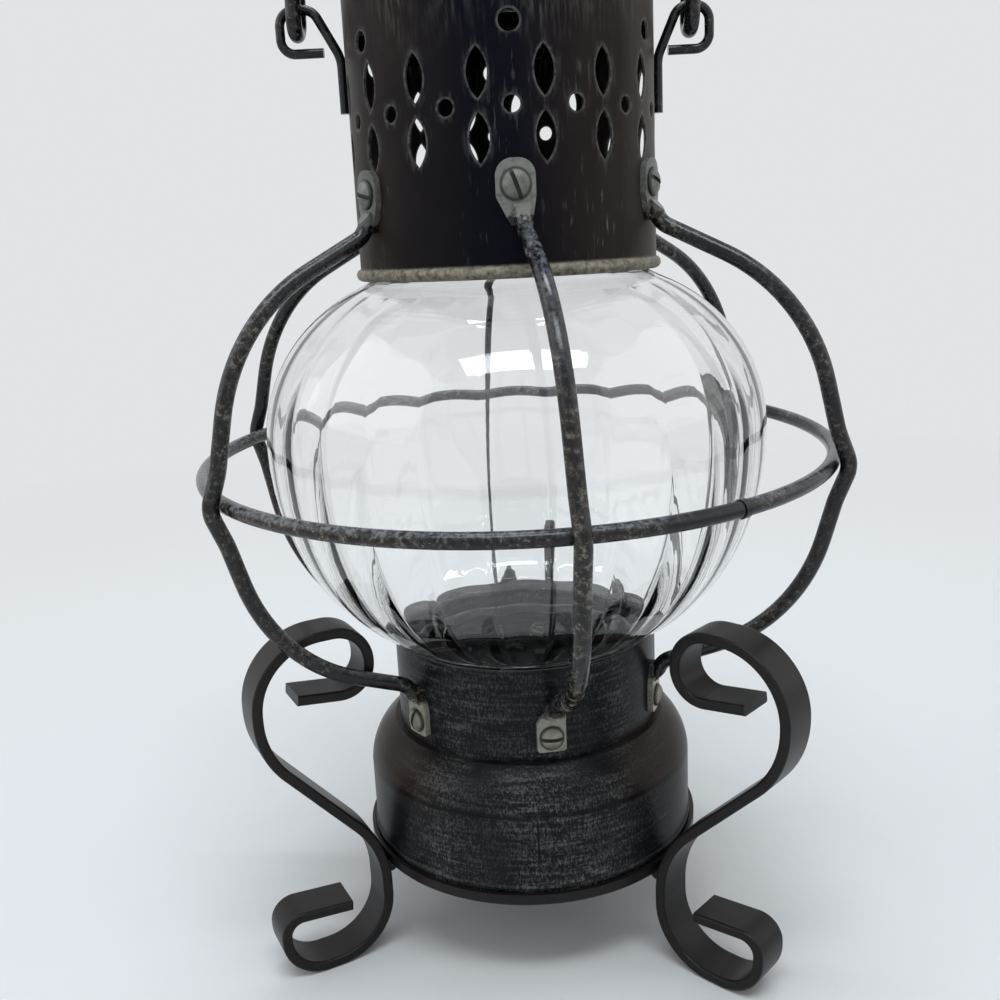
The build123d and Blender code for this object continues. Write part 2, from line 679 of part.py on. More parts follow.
export_step(plate, "parts/stand_plate.step")
for side, (scroll_radius, azimuth) in LEGS.items():
    export_step(to_azimuth(make_leg(scroll_radius), azimuth), f"parts/stand_leg_{side}.step")
export_step(make_welds(plate), "parts/stand_welds.step")

export_step(make_base_shell(), "parts/base_shell.step")
export_step(make_base_floor(), "parts/base_floor.step")
export_step(make_candle_pan(), "parts/candle_pan.step")
export_step(make_candle_socket(), "parts/candle_socket.step")

export_step(make_collar(), "parts/collar.step")
export_step(make_globe_seat(), "parts/globe_seat.step")
export_step(make_globe(), "parts/globe.step")
export_step(make_cage_ring(), "parts/cage_ring.step")
export_step(make_rib(RIB_AZIMUTH, FRONT_RIB_SWING, FRONT_RIB_LEAN), "parts/cage_rib_1.step")
for number in range(1, RIB_COUNT):
    export_step(make_rib(RIB_AZIMUTH + number * RIB_PITCH), f"parts/cage_rib_{number + 1}.step")
export_step(make_chimney(), "parts/chimney.step")
export_step(to_azimuth(left_ear, -90.0), "parts/bail_ear_left.step")
export_step(to_azimuth(right_ear, 90.0), "parts/bail_ear_right.step")


export_step(six_round(upper_screw, HEAD_AZIMUTH), "parts/upper_screws.step")
export_step(six_round(lower_screw, FOOT_AZIMUTH), "parts/lower_screws.step")
export_step(six_round(upper_nut, HEAD_AZIMUTH), "parts/upper_nuts.step")
export_step(six_round(lower_nut, FOOT_AZIMUTH), "parts/lower_nuts.step")

export_step(make_cap(), "parts/chimney_cap.step")
export_step(make_knob(), "parts/cap_knob.step")
export_step(make_bail(), "parts/bail.step")
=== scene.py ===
import math

import bmesh
import bpy
from mathutils import Matrix, Vector


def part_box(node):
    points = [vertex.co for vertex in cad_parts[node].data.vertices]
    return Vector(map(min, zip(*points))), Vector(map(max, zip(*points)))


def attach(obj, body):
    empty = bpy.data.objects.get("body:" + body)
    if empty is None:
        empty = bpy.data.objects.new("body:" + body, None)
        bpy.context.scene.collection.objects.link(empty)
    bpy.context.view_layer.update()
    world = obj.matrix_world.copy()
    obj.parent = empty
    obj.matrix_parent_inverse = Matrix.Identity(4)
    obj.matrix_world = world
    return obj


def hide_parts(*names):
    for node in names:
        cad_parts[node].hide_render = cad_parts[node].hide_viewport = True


bl_info = {
    "name": "Caged Globe Lantern",
    "version": (1, 0, 0),
    "blender": (4, 5, 0),
    "location": "3D View > Sidebar > Lantern",
    "description": "Dresses the solids of a punched candle lantern with glass, worn paint and a studio",
    "category": "Object",
}

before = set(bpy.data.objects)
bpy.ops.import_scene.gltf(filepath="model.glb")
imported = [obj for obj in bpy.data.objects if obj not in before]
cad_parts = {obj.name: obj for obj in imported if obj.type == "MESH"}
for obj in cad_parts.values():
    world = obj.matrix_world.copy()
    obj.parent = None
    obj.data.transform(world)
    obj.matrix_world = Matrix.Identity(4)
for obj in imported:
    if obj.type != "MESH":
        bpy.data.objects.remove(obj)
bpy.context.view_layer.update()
MM = 0.001

RIB_NODES = sorted(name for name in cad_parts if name.startswith("cage_rib_"))
STAND_NODES = ["stand_plate", "stand_leg_left", "stand_leg_right", "stand_leg_back", "stand_welds"]

# Punched pattern of the chimney, as the solid has it, with rises from the rim
PUNCH_COLUMNS = 16
PUNCH_TURN = math.radians(3.506)
PUNCH_RISE = 43.2 * MM
PUNCH_SPREAD = 7.9 * MM
DOT_RADIUS = 2.15 * MM
OVAL_ARC = 8.7 * MM
OVAL_HALF_WIDTH = 2.7 * MM
TOP_HOLES = 6
TOP_HOLE_RISE = 62.8 * MM
TOP_HOLE_RADIUS = 2.7 * MM
RIM_PROUD = 1.3 * MM

# Wear and painted side reflections of the chimney; each pair says where a mask starts and where it is full
# The dark middle of the painted side reflection lies this far left of the axis
DARK_LINE_LEFT = 2.5 * MM
BROWN_REFLECTION_SIDES = (6 * MM, 30 * MM)
GREY_REFLECTION_SIDES = (34 * MM, 43 * MM)
TOP_RUB = (56 * MM, 72 * MM)
HOLE_OUTLINE = (0.75 * MM, 0.25 * MM)
HOLE_HALO = (2.2 * MM, 0.4 * MM)
RIM_BAND = (3.9 * MM, 3.1 * MM)

# Wear, painted flank reflection and painted crease shade of the base, from the shoulder where the collar
# starts, apart from the lap's foot
FLANK_SIDES = (22 * MM, 40 * MM)
FLANK_FOOT = (-17 * MM, -11 * MM)
FLANK_TOP = (4 * MM, -1 * MM)
SPECKLED_FRONT = (46 * MM, 24 * MM)
LEVEL_GRAIN = 0.35
LAP_TURN = math.radians(1.5)
LAP_EDGE = (0.45 * MM, 0.15 * MM)
LAP_TOP = (-13.4 * MM, -14.0 * MM)
LAP_FOOT = (10 * MM, 13 * MM)
CREASE_DROP = 12.4 * MM
CREASE_EDGE = (1.3 * MM, 0.3 * MM)
# Near black of the lap's seam line and of the painted shade in the crease
SEAM_GRIME_AND_CREASE_SHADE = (0.002, 0.002, 0.002)

# Screws of one row: turn of the first, radius of a head, angle of the first slot, step to the next slot
SCREWS = {
    "upper_screws": (math.radians(3.506), 3.9 * MM, math.radians(20), math.radians(47)),
    "lower_screws": (math.radians(8.666), 3.5 * MM, math.radians(88), math.radians(53)),
}
SCREW_COUNT = 6
SLOT_WIDTH = 1.1 * MM
# Edges of the painted shade and dirt in the slots and round the screw heads
SLOT_EDGE = (0.6 * SLOT_WIDTH, 0.45 * SLOT_WIDTH)
SLOT_END = 0.1 * MM
HEAD_SHADE_AND_DIRT = (0.6 * MM, 0.2 * MM)

# Wear of the wires
LESS_WORN_SIDE = (-30 * MM, 40 * MM)
UPPER_FLAT_DROP = 4.6 * MM
LOWER_FLAT_RISE = 3.6 * MM
RAGGED_EDGE = 8 * MM
FINE_BUMP = 0.3 * MM

# Outline of the globe, as the solid has it: shares of its radius and of the spans below and above its belly
FLUTE_STEPS = 8
PROFILE_STEPS = 15
GLASS_SEAT = 2.6 * MM
CAP_REACH = 3.2 * MM
NECK_TOP = 0.6 * MM
NECK_BEND = (0.1 * MM, 1.2 * MM)
CROWN_FOOT = 0.2 * MM
CROWN_BEND = (0.8 * MM, 1.9 * MM)
BELLY_SHARE = 0.572
LOW_PULL = (0.763, 0.15)
LOW_SIDE = 0.45
HIGH_SIDE = 0.42
HIGH_PULL = (0.842, 0.79)
SLOPE = (0.47, 0.88)
SAME_PLACE = 0.01 * MM
SAME_SKIN = 0.05 * MM

# Studio: each lamp has a name, a place, a size, a power in watts and a colour
FLOOR_SIZE = (6.0, 4.0, 1.0)
WALL_HEIGHT = 3.0
BEND_RADIUS = 1.0
BEND_STEPS = 16
BACKDROP_FROM = (0.25, 0.9)
ROOM_COLOUR = (0.9, 0.95, 1.0, 1.0)
ROOM_STRENGTH = 0.3
LAMP_AIM = Vector((0.0, 0.0, 0.16))
LAMPS = (
    ("Key", (0.06, -0.62, 1.5), (1.1, 0.35), 11.0, (0.9, 0.96, 1.0)),
    ("Top", (0.0, 0.2, 1.6), (0.6, 0.1), 6.0, (0.92, 0.97, 1.0)),
    ("Left", (-2.2, -0.4, 1.6), (3.0, 2.2), 21.0, (0.97, 0.99, 1.0)),
    ("Right", (2.2, -0.3, 1.4), (3.0, 2.2), 12.0, (1.0, 0.97, 0.94)),
)


def colour_setting(name, description, default):
    """A colour that a user may change."""
    return bpy.props.FloatVectorProperty(
        name=name, description=description, subtype="COLOR", default=default, min=0.0, max=1.0
    )


def length_setting(name, description, default):
    """A length that a user may change."""
    return bpy.props.FloatProperty(name=name, description=description, default=default, unit="LENGTH")


def angle_setting(name, description, degrees):
    """An angle that a user may change."""
    return bpy.props.FloatProperty(
        name=name, description=description, subtype="ANGLE", default=math.radians(degrees)
    )


class GlassSettings(bpy.types.PropertyGroup):
    """Sizes of the blown globe's optic flutes."""

    flutes: bpy.props.IntProperty(
        name="Flutes", description="Optic flutes round the inside of the glass", default=30, min=6, max=40
    )
    flute_depth: length_setting("Flute depth", "How far a flute stands inwards", 0.85 * MM)
    ripple: length_setting("Ripple", "How far the outer skin follows the flutes", 0.3 * MM)
    wall: length_setting("Wall", "Thickness of the glass between flutes", 1.6 * MM)


class FinishSettings(bpy.types.PropertyGroup):
    """Colours of the lantern's finishes."""

    sheet_black: colour_setting(
        "Sheet paint", "Blue-black paint on the sheet metal", (0.0035, 0.0038, 0.0075)
    )
    # The next two colours are painted brown and warm grey reflection on the chimney's sides
    sheet_reflected_brown: colour_setting("Painted brown reflection", "Brown reflection painted on the chimney's sides", (0.024, 0.018, 0.0155))
    sheet_reflected_grey: colour_setting(
        "Painted grey reflection", "Warm grey reflection painted at the chimney's sides", (0.062, 0.053, 0.046)
    )
    sheet_scuff: colour_setting("Scuffs", "Metal that shows through rubbed paint", (0.19, 0.19, 0.18))
    body_black: colour_setting(
        "Body paint", "Charcoal paint on the collar and the base", (0.0055, 0.0065, 0.0078)
    )
    # Painted brown reflection on the base's flanks
    flank_reflected_brown: colour_setting("Flank reflection", "Brown reflection painted on the flanks of the base's shoulder", (0.027, 0.0155, 0.0115))
    rim_tan: colour_setting("Rim", "Bare, stained metal of the chimney's rolled rim", (0.31, 0.28, 0.22))
    wire_black: colour_setting(
        "Wire paint", "Black paint on the cage and the bail", (0.004, 0.0048, 0.0075)
    )
    wire_olive: colour_setting("Thin paint", "Paint worn thin on the cage", (0.08, 0.062, 0.038))
    # Blue-grey dust with a painted sheen on the wires' upper side
    wire_dust_and_sheen: colour_setting(
        "Dust and painted sheen on tops", "Blue-grey dust and painted sheen on the upper side of the wires", (0.125, 0.14, 0.16)
    )
    bare_metal: colour_setting(
        "Bare metal", "Dull grey metal where the paint is gone", (0.19, 0.192, 0.175)
    )
    pale_metal: colour_setting(
        "Pale metal", "Paler metal of the lower flats and screws", (0.29, 0.285, 0.225)
    )
    tinplate: colour_setting("Tinplate", "Plated sheet of the inner pieces", (0.45, 0.45, 0.43))
    stand_black: colour_setting(
        "Stand paint", "Satin brown-black coat of the stand", (0.0085, 0.0068, 0.0065)
    )
    table: colour_setting("Floor", "Pale floor and backdrop", (0.76, 0.77, 0.78))


class CameraSettings(bpy.types.PropertyGroup):
    """Where the photograph was taken from."""

    place: bpy.props.FloatVectorProperty(
        name="Place", description="Camera position", subtype="TRANSLATION", unit="LENGTH",
        default=(0.0, -0.3281, 0.2173),
    )
    lens: bpy.props.FloatProperty(
        name="Lens", description="Focal length in mm", default=38.4, unit="CAMERA"
    )
    dip: angle_setting("Dip", "Angle below the level", 13.71)
    swing: angle_setting("Swing", "Turn to the right", -1.04)
    roll: angle_setting("Roll", "Turn of the frame", -2.79)


def deselect():
    """Leave edit mode and let nothing be selected."""
    if bpy.context.mode != "OBJECT":
        bpy.ops.object.mode_set(mode="OBJECT")
    bpy.ops.object.select_all(action="DESELECT")


def take_new(name):
    """The object that an add operator has just made, under its own name."""
    piece = bpy.context.view_layer.objects.active
    piece.name = name
    piece.data.name = name
    return piece


def settle(piece):
    """Put an object's place into its mesh."""
    deselect()
    piece.select_set(True)
    bpy.context.view_layer.objects.active = piece
    bpy.ops.object.transform_apply(location=True, rotation=True, scale=True)


def hand_over(piece, body, slot, *nodes):
    """Hang a piece under the empty of its body and hide the solids it stands for."""
    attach(piece, body)
    if nodes:
        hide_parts(*nodes)


def select_where(piece, test):
    """Select, in edit mode, the vertices that pass a test of their place."""
    mesh = bmesh.from_edit_mesh(piece.data)
    for vertex in mesh.verts:
        vertex.select = test(vertex.co)
    mesh.select_flush_mode()
    bmesh.update_edit_mesh(piece.data)


class Painter:
    """Small helper that lays out the nodes of one material."""

    def __init__(self, name):
        self.material = bpy.data.materials.new(name)
        self.material.use_nodes = True
        self.nodes = self.material.node_tree.nodes
        self.links = self.material.node_tree.links
        self.shader = self.nodes["Principled BSDF"]

    def node(self, kind, **values):
        """A new node with some of its options set."""
        made = self.nodes.new(kind)
        for key, value in values.items():
            setattr(made, key, value)
        return made

    def join(self, output, target):
        """Link one socket to another."""
        self.links.new(output, target)

    def place(self, stretch=(1.0, 1.0, 1.0)):
        """Object coordinates, stretched along each axis."""
        source = self.node("ShaderNodeTexCoord")
        mapping = self.node("ShaderNodeMapping")
        mapping.inputs["Scale"].default_value = stretch
        self.join(source.outputs["Object"], mapping.inputs["Vector"])
        return mapping.outputs["Vector"]

    def noise(self, vector, scale, detail=4.0, rough=0.6):
        """Noise between 0 and 1, mostly near the middle."""
        made = self.node("ShaderNodeTexNoise")
        made.inputs["Scale"].default_value = scale
        made.inputs["Detail"].default_value = detail
        made.inputs["Roughness"].default_value = rough
        self.join(vector, made.inputs["Vector"])
        return made.outputs["Fac"]

    def ramp(self, value, start, full, top=1.0):
        """A mask that is 0 up to start and rises to top at full, which may be the lower of the two."""
        made = self.node("ShaderNodeMapRange")
        made.inputs["From Min"].default_value = start
        made.inputs["From Max"].default_value = full
        made.inputs["To Max"].default_value = top
        self.join(value, made.inputs["Value"])
        return made.outputs["Result"]

    def ramp_from(self, value, origin, ends, top=1.0):
        """A ramp whose two ends are given as distances from an origin."""
        start, full = ends
        return self.ramp(value, origin + start, origin + full, top)

    def maths(self, operation, *values):
        """One step of arithmetic; each value is a number or a socket."""
        made = self.node("ShaderNodeMath", operation=operation)
        for socket, value in zip(made.inputs, values):
            if isinstance(value, (int, float)):
                socket.default_value = value
            else:
                self.join(value, socket)
        return made.outputs["Value"]

    def fold(self, operation, masks):
        """Several masks joined by one kind of arithmetic."""
        result = masks[0]
        for mask in masks[1:]:
            result = self.maths(operation, result, mask)
        return result

    def both(self, *masks):
        """Product of several masks."""
        return self.fold("MULTIPLY", masks)

    def most(self, *masks):
        """Greatest of several masks."""
        return self.fold("MAXIMUM", masks)

    def length(self, first, second):
        """Length of an offset given by its two parts."""
        square = self.maths("MULTIPLY", first, first)
        return self.maths("SQRT", self.maths("MULTIPLY_ADD", second, second, square))

    def mix(self, mask, base, top):
        """Colour mixed by a mask; each colour is a value or a socket."""
        made = self.node("ShaderNodeMix", data_type="RGBA")
        self.join(mask, made.inputs["Factor"])
        for socket, colour in ((made.inputs[6], base), (made.inputs[7], top)):
            if hasattr(colour, "links"):
                self.join(colour, socket)
            else:
                socket.default_value = (*colour, 1.0)
        return made.outputs[2]

    def axes(self):
        """The three Object coordinates as values, in metres."""
        split = self.node("ShaderNodeSeparateXYZ")
        self.join(self.place(), split.inputs["Vector"])
        return split.outputs["X"], split.outputs["Y"], split.outputs["Z"]

    def upward(self):
        """How far the surface faces up, in the object's own frame."""
        split = self.node("ShaderNodeSeparateXYZ")
        self.join(self.node("ShaderNodeTexCoord").outputs["Normal"], split.inputs["Vector"])
        return split.outputs["Z"]

    def colour(self, value):
        """Base colour from a socket."""
        self.join(value, self.shader.inputs["Base Color"])

    def flat_colour(self, value):
        """The same base colour everywhere."""
        self.shader.inputs["Base Color"].default_value = (*value, 1.0)

    def roughness(self, mask, smooth, rough):
        """Roughness that runs from smooth to rough along a mask."""
        value = self.maths("MULTIPLY_ADD", mask, rough - smooth, smooth)
        self.join(value, self.shader.inputs["Roughness"])

    def bump(self, value, strength, distance):
        """Fine relief from a mask."""
        made = self.node("ShaderNodeBump")
        made.inputs["Strength"].default_value = strength
        made.inputs["Distance"].default_value = distance
        self.join(value, made.inputs["Height"])
        self.join(made.outputs["Normal"], self.shader.inputs["Normal"])

    def finish(self, metallic=0.0, roughness=None, shine=0.5):
        """The material, once its even values are set."""
        self.shader.inputs["Metallic"].default_value = metallic
        self.shader.inputs["Specular IOR Level"].default_value = shine
        if roughness is not None:
            self.shader.inputs["Roughness"].default_value = roughness
        return self.material


def turn_round(paint, start=0.0):
    """Angle round the lantern's axis, from the front towards +X."""
    x, y, _ = paint.axes()
    turn = paint.maths("ARCTAN2", x, paint.maths("MULTIPLY", y, -1.0))
    return paint.maths("SUBTRACT", turn, start)


def along_wall(paint, start, count, radius):
    """Distance along a round wall from the nearest of several even places."""
    half = math.pi / count
    offset = paint.maths("WRAP", turn_round(paint, start), half, -half)
    return paint.maths("MULTIPLY", offset, radius)


def punched_edge(paint, radius, rim):
    """Distance from the edge of the nearest hole in the chimney."""
    _, _, z = paint.axes()
    half_step = math.pi / PUNCH_COLUMNS
    level = paint.maths("SUBTRACT", z, rim + PUNCH_RISE)
    across = along_wall(paint, PUNCH_TURN, PUNCH_COLUMNS, radius)
    dots = paint.maths("SUBTRACT", paint.length(across, level), DOT_RADIUS)
    across = along_wall(paint, PUNCH_TURN + half_step, PUNCH_COLUMNS, radius)
    across = paint.maths("ADD", paint.maths("ABSOLUTE", across), OVAL_ARC - OVAL_HALF_WIDTH)
    level = paint.maths("SUBTRACT", paint.maths("ABSOLUTE", level), PUNCH_SPREAD)
    ovals = paint.maths("SUBTRACT", paint.length(across, level), OVAL_ARC)
    across = along_wall(paint, PUNCH_TURN, TOP_HOLES, radius)
    level = paint.maths("SUBTRACT", z, rim + TOP_HOLE_RISE)
    top = paint.maths("SUBTRACT", paint.length(across, level), TOP_HOLE_RADIUS)
    return paint.fold("MINIMUM", (dots, ovals, top))


def chimney_paint(finish):
    """Blue-black paint with a painted brown and warm grey reflection to the sides, scratched upright and
    worn off round each hole.
    """
    low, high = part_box("chimney")
    paint = Painter("Chimney paint")
    x, _, z = paint.axes()
    away = paint.maths("ABSOLUTE", paint.maths("ADD", x, DARK_LINE_LEFT))
    edge = punched_edge(paint, high.x - RIM_PROUD, low.z)
    patches = paint.noise(paint.place((1.0, 1.0, 0.5)), scale=36.0)
    streaks = paint.noise(paint.place((1.0, 1.0, 0.14)), scale=900.0)
    grit = paint.noise(paint.place(), scale=620.0, detail=3.0)
    # Painted reflection: brown, then warm grey, further from the dark middle line
    brown_reflection = paint.both(paint.ramp(away, *BROWN_REFLECTION_SIDES), paint.ramp(patches, 0.2, 0.55))
    colour = paint.mix(brown_reflection, finish.sheet_black, finish.sheet_reflected_brown)
    colour = paint.mix(paint.ramp(away, *GREY_REFLECTION_SIDES, top=0.85), colour, finish.sheet_reflected_grey)
    scratches = paint.both(paint.ramp(streaks, 0.6, 0.72), paint.ramp(patches, 0.46, 0.66, top=0.6))
    top_rub = paint.both(
        paint.ramp(streaks, 0.46, 0.62),
        paint.ramp_from(z, low.z, TOP_RUB, top=0.4),
        paint.ramp(patches, 0.4, 0.6),
    )
    outline = paint.both(paint.ramp(edge, *HOLE_OUTLINE, top=0.5), paint.ramp(grit, 0.3, 0.6))
    halo = paint.both(paint.ramp(edge, *HOLE_HALO, top=0.25), paint.ramp(streaks, 0.46, 0.66))
    colour = paint.mix(paint.most(scratches, top_rub, outline, halo), colour, finish.sheet_scuff)
    rim = paint.both(paint.ramp_from(z, low.z, RIM_BAND), paint.ramp(grit, 0.2, 0.62))
    paint.colour(paint.mix(rim, colour, finish.rim_tan))
    paint.roughness(paint.ramp(patches, 0.3, 0.7), smooth=0.34, rough=0.48)
    paint.bump(streaks, strength=0.1, distance=FINE_BUMP)
    return paint.finish(shine=0.05)


def body_paint(finish):
    """Charcoal paint with a fine speckle of metal, a painted brown reflection on the shoulder's flanks, a
    dark lap seam and painted shade in the crease below the shoulder.
    """
    low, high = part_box("base_shell")
    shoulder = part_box("collar")[0].z
    paint = Painter("Body paint")
    x, _, z = paint.axes()
    away = paint.maths("ABSOLUTE", x)
    patches = paint.noise(paint.place((1.0, 1.0, 0.7)), scale=42.0)
    clouds = paint.noise(paint.place(), scale=24.0, detail=3.0)
    upright = paint.noise(paint.place((1.0, 1.0, 0.45)), scale=1700.0, rough=0.75)
    level = paint.noise(paint.place((0.08, 0.08, 1.0)), scale=1000.0, detail=3.0)
    upright = paint.maths("MULTIPLY", upright, 1.0 - LEVEL_GRAIN)
    grain = paint.maths("MULTIPLY_ADD", level, LEVEL_GRAIN, upright)
    # Painted brown reflection on the shoulder's flanks, away from the middle
    flank_reflection = paint.both(
        paint.ramp(away, *FLANK_SIDES, top=0.8),
        paint.ramp_from(z, shoulder, FLANK_FOOT),
        paint.ramp_from(z, shoulder, FLANK_TOP),
    )
    colour = paint.mix(flank_reflection, finish.body_black, finish.flank_reflected_brown)
    speckle = paint.both(
        paint.ramp(grain, 0.48, 0.64),
        paint.ramp(patches, 0.26, 0.6, top=0.8),
        paint.ramp(clouds, 0.2, 0.56),
        paint.ramp(away, *SPECKLED_FRONT),
    )
    colour = paint.mix(speckle, colour, finish.sheet_scuff)
    off_lap = paint.maths("ABSOLUTE", along_wall(paint, LAP_TURN, 1, high.x))
    lap = paint.both(
        paint.ramp(off_lap, *LAP_EDGE),
        paint.ramp_from(z, shoulder, LAP_TOP),
        paint.ramp_from(z, low.z, LAP_FOOT),
    )
    # Painted shade in the crease below the shoulder, joined with the dark seam line of the lap
    off_crease = paint.maths("ABSOLUTE", paint.maths("SUBTRACT", z, shoulder - CREASE_DROP))
    dark = paint.most(lap, paint.ramp(off_crease, *CREASE_EDGE, top=0.75))
    paint.colour(paint.mix(dark, colour, SEAM_GRIME_AND_CREASE_SHADE))
    paint.roughness(paint.ramp(patches, 0.3, 0.7), smooth=0.28, rough=0.4)
    paint.bump(grain, strength=0.12, distance=FINE_BUMP)
    return paint.finish(shine=0.11)


def slot_shade_and_dirt(paint, node):
    """Painted shade and dirt in the slots of one row of screws and round their heads."""
    turn, head, first, step = SCREWS[node]
    low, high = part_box(node)
    _, _, z = paint.axes()
    across = along_wall(paint, turn, SCREW_COUNT, -low.y)
    level = paint.maths("SUBTRACT", z, (low.z + high.z) / 2)
    away = paint.length(across, level)
    off_edge = paint.maths("ABSOLUTE", paint.maths("SUBTRACT", away, head))
    ring = paint.ramp(off_edge, *HEAD_SHADE_AND_DIRT, top=0.8)
    place = paint.maths("DIVIDE", turn_round(paint, turn), 2 * math.pi / SCREW_COUNT)
    place = paint.maths("FLOORED_MODULO", paint.maths("ROUND", place), SCREW_COUNT)
    angle = paint.maths("MULTIPLY_ADD", place, step, first)
    beside = paint.maths("MULTIPLY", level, paint.maths("SINE", angle))
    beside = paint.maths("MULTIPLY_ADD", across, paint.maths("COSINE", angle), beside)
    slot = paint.both(
        paint.ramp(paint.maths("ABSOLUTE", beside), *SLOT_EDGE),
        paint.ramp(away, head + SLOT_END, head),
    )
    return paint.most(ring, slot)


def bare_flat(paint, grain, start, full, top):
    """Mask of a rib's bare flat, with a ragged edge and a mottle."""
    _, _, z = paint.axes()
    level = paint.maths("ADD", z, paint.maths("MULTIPLY_ADD", grain, RAGGED_EDGE, -RAGGED_EDGE / 2))
    mottle = paint.maths("ADD", paint.ramp(grain, 0.3, 0.5, top=0.5), 0.5)
    return paint.both(paint.ramp(level, start, full, top), mottle)


def worn_wire(finish, name, wear, head=0.0, foot=0.0, side=0.0, fine=620.0, along=1.0):
    """Black paint on round wire, chipped and rubbed, with dust and a painted sheen on its upper side.

    Head and foot say how bare a rib's two flats are, and side how much less the right half is worn.
    Fine is the scale of the grain, and an along under 1 draws the grain out from front to back.
    """
    paint = Painter(name)
    grain = paint.noise(paint.place((1.0, along, 1.0)), scale=fine, detail=5.0, rough=0.72)
    patches = paint.noise(paint.place((1.0, 1.0, 0.6)), scale=48.0)
    if side:
        x, _, _ = paint.axes()
        worn_less = paint.ramp(x, *LESS_WORN_SIDE, top=side)
        patches = paint.maths("ADD", paint.maths("SUBTRACT", patches, worn_less), 0.4 * side)
    rubbed = paint.both(paint.ramp(grain, 0.45, 0.6), paint.ramp(patches, 0.4, 0.6, top=wear))
    colour = paint.mix(rubbed, finish.wire_black, finish.wire_olive)
    chips = paint.both(paint.ramp(grain, 0.56, 0.63), paint.ramp(patches, 0.42, 0.6, top=wear))
    colour = paint.mix(chips, colour, finish.bare_metal)
    # Blue-grey dust with a painted sheen on the wires' upper side
    dust_and_sheen_tops = paint.both(
        paint.ramp(grain, 0.4, 0.6),
        paint.ramp(paint.upward(), 0.25, 0.85),
        paint.ramp(patches, 0.3, 0.55, top=wear),
    )
    colour = paint.mix(dust_and_sheen_tops, colour, finish.wire_dust_and_sheen)
    if head:
        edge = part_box("upper_screws")[0].z - UPPER_FLAT_DROP
        colour = paint.mix(bare_flat(paint, grain, edge, edge + MM, head), colour, finish.bare_metal)
        # Painted shade and dirt round the upper screws' heads and in their slots
        colour = paint.mix(slot_shade_and_dirt(paint, "upper_screws"), colour, finish.wire_black)
    if foot:
        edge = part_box("lower_screws")[1].z + LOWER_FLAT_RISE
        colour = paint.mix(bare_flat(paint, grain, edge, edge - MM, foot), colour, finish.pale_metal)
        # Painted shade and dirt round the lower screws' heads and in their slots
        colour = paint.mix(slot_shade_and_dirt(paint, "lower_screws"), colour, finish.wire_black)
    paint.colour(colour)
    paint.roughness(rubbed, smooth=0.13, rough=0.4)
    paint.bump(grain, strength=0.35, distance=FINE_BUMP)
    return paint.finish(shine=0.36)


def dull_metal(colour, name, roughness, metallic, screws=None):
    """Plain plated or bare metal with a faint mottle; screws get painted shade and dirt in their slots and
    round their heads.
    """
    paint = Painter(name)
    mottle = paint.noise(paint.place(), scale=300.0, detail=5.0)
    dark = tuple(0.55 * channel for channel in colour)
    shade = paint.mix(paint.ramp(mottle, 0.35, 0.65), dark, colour)
    if screws:
        # Near black for the painted shade and dirt of the screws
        shade_and_dirt_colour = tuple(0.06 * channel for channel in colour)
        shade = paint.mix(slot_shade_and_dirt(paint, screws), shade, shade_and_dirt_colour)
    paint.colour(shade)
    paint.bump(mottle, strength=0.15, distance=0.2 * MM)
    return paint.finish(metallic, roughness)


def satin_coat(finish):
    """Even satin coat of the stand."""
    paint = Painter("Satin stand coat")
    paint.flat_colour(finish.stand_black)
    grain = paint.noise(paint.place(), scale=900.0, detail=3.0)
    paint.bump(grain, strength=0.1, distance=0.2 * MM)
    return paint.finish(roughness=0.36, shine=0.22)


def clear_glass():
    """Clear glass of the globe."""
    paint = Painter("Clear globe glass")
    paint.flat_colour((0.985, 0.99, 0.99))
    paint.shader.inputs["Transmission Weight"].default_value = 1.0
    paint.shader.inputs["IOR"].default_value = 1.5
    return paint.finish(roughness=0.0)


def pale_floor(finish):
    """Pale floor that keeps its shadows near the lantern and is an even backdrop further off."""
    paint = Painter("Pale floor")
    paint.flat_colour(finish.table)
    x, y, _ = paint.axes()
    glow = paint.node("ShaderNodeEmission")
    glow.inputs["Color"].default_value = (*finish.table, 1.0)
    path = paint.node("ShaderNodeLightPath").outputs
    seen = paint.most(path["Is Camera Ray"], path["Is Transmission Ray"], path["Is Glossy Ray"])
    blend = paint.node("ShaderNodeMixShader")
    paint.join(paint.both(seen, paint.ramp(paint.length(x, y), *BACKDROP_FROM)), blend.inputs["Fac"])
    paint.join(paint.shader.outputs["BSDF"], blend.inputs[1])
    paint.join(glow.outputs["Emission"], blend.inputs[2])
    paint.join(blend.outputs["Shader"], paint.nodes["Material Output"].inputs["Surface"])
    return paint.finish(roughness=0.6)


def soft_room(finish):
    """Dim, even light from all round, which looks as pale as the backdrop through glass."""
    world = bpy.data.worlds.new("Soft room")
    world.use_nodes = True
    nodes = world.node_tree.nodes
    links = world.node_tree.links
    light = nodes["Background"]
    light.inputs["Color"].default_value = ROOM_COLOUR
    light.inputs["Strength"].default_value = ROOM_STRENGTH
    pale = nodes.new("ShaderNodeBackground")
    pale.inputs["Color"].default_value = (*finish.table, 1.0)
    path = nodes.new("ShaderNodeLightPath")
    blend = nodes.new("ShaderNodeMixShader")
    links.new(path.outputs["Is Transmission Ray"], blend.inputs["Fac"])
    links.new(light.outputs["Background"], blend.inputs[1])
    links.new(pale.outputs["Background"], blend.inputs[2])
    links.new(blend.outputs["Shader"], nodes["World Output"].inputs["Surface"])
    return world


def coat(nodes, material):
    """Give solids their finish."""
    for name in nodes:
        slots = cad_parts[name].data.materials
        slots.clear()
        slots.append(material)


